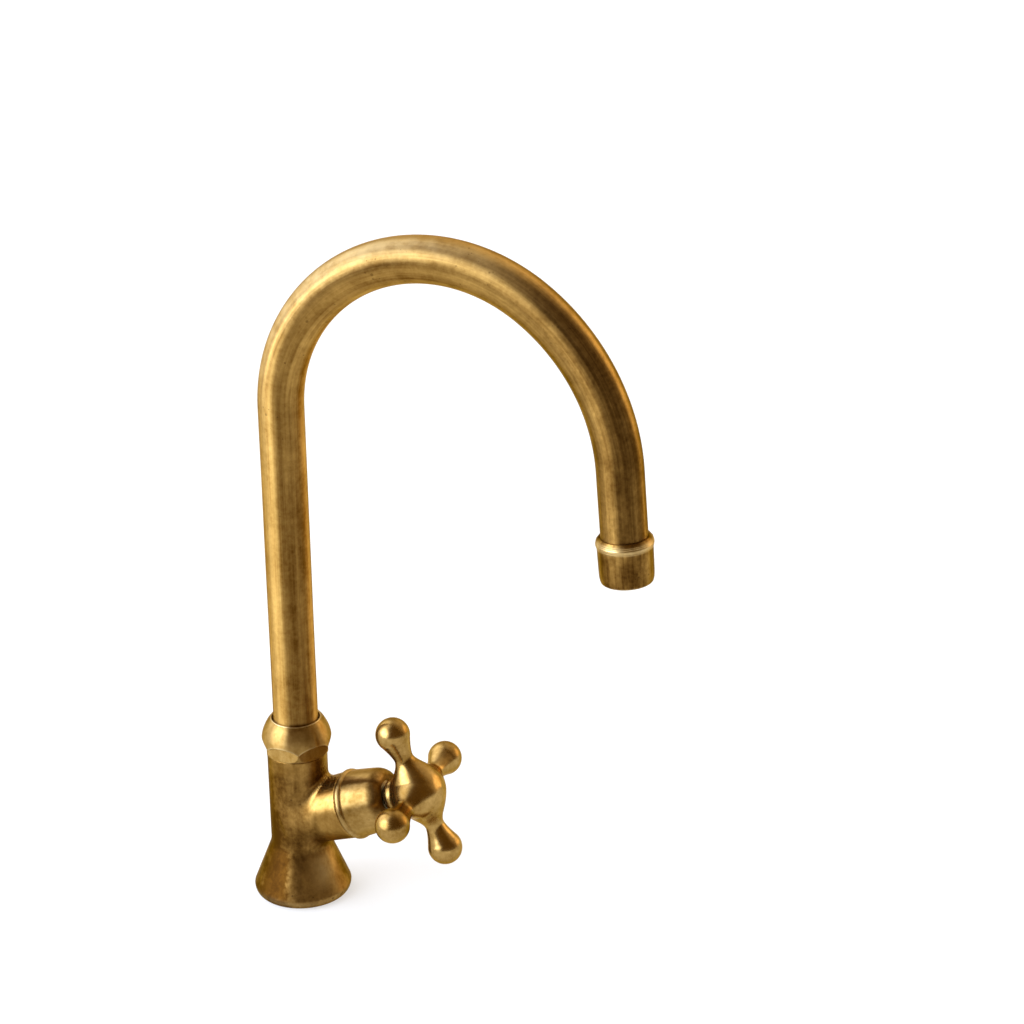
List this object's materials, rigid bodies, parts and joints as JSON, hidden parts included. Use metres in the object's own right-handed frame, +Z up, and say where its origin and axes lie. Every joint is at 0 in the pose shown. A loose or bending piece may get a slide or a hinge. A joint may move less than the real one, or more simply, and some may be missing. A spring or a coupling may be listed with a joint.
{
  "type": "drinking water faucet",
  "caption": "Single cold-water faucet with a swivelling gooseneck tube, flared base and a cross handle on an inclined side valve.",
  "frame": {"origin": "centre of the base underside, on the counter's top face and on the swivel axis of the spout", "axes": "+Z up along the spout's swivel axis, +X forwards over the sink through the outlet and the handle, +Y to the left seen from behind the faucet"},
  "size_m": [0.182, 0.07, 0.3509],
  "materials": {
    "cast_brass": "cast and softly brushed brass, unlacquered and aged",
    "tube_brass": "drawn tube, brushed lengthwise, unlacquered and aged",
    "turned_brass": "turned and polished brass, lightly aged",
    "inner_brass": "plain turned brass",
    "steel": "zinc plated steel",
    "spring_steel": "spring steel",
    "black_rubber": "black sealing rubber",
    "white_plastic": "natural white low-friction plastic",
    "grey_plastic": "grey moulded plastic",
    "fibre": "red sealing fibre",
    "ceramic": "lapped white ceramic"
  },
  "bodies": {
    "body": {"valve_body": "cast_brass", "deck_seal": "black_rubber", "threaded_shank": "inner_brass", "clamp_gasket": "black_rubber", "clamp_washer": "steel", "back_nut": "inner_brass", "spout_nut": "turned_brass", "swivel_washer": "white_plastic", "retaining_ring": "white_plastic", "bonnet": "turned_brass", "bonnet_seal": "fibre", "cartridge_body": "inner_brass", "seat_seal": "black_rubber", "fixed_disc": "ceramic", "slip_washer": "white_plastic"},
    "spout": {"spout_tube": "tube_brass", "spout_spigot": "inner_brass", "spout_seals": "black_rubber", "outlet_collar": "turned_brass", "aerator_housing": "inner_brass", "aerator_screen": "spring_steel", "flow_insert": "grey_plastic", "aerator_washer": "black_rubber"},
    "handle": {"cross_handle": "turned_brass", "grub_screw": "steel", "spindle": "inner_brass", "spindle_seals": "black_rubber", "spindle_clip": "spring_steel", "moving_disc": "ceramic"}
  },
  "joints": [
    {"name": "spout_swivel", "type": "hinge", "parent": "body", "child": "spout", "pos_m": [0, 0, 0.076], "axis": [0, 0, 1], "continuous": true},
    {"name": "handle_turn", "type": "hinge", "parent": "body", "child": "handle", "pos_m": [0, 0, 0.03515], "axis": [0.9252, 0, 0.3795], "range_deg": [0, 90]}
  ]
}
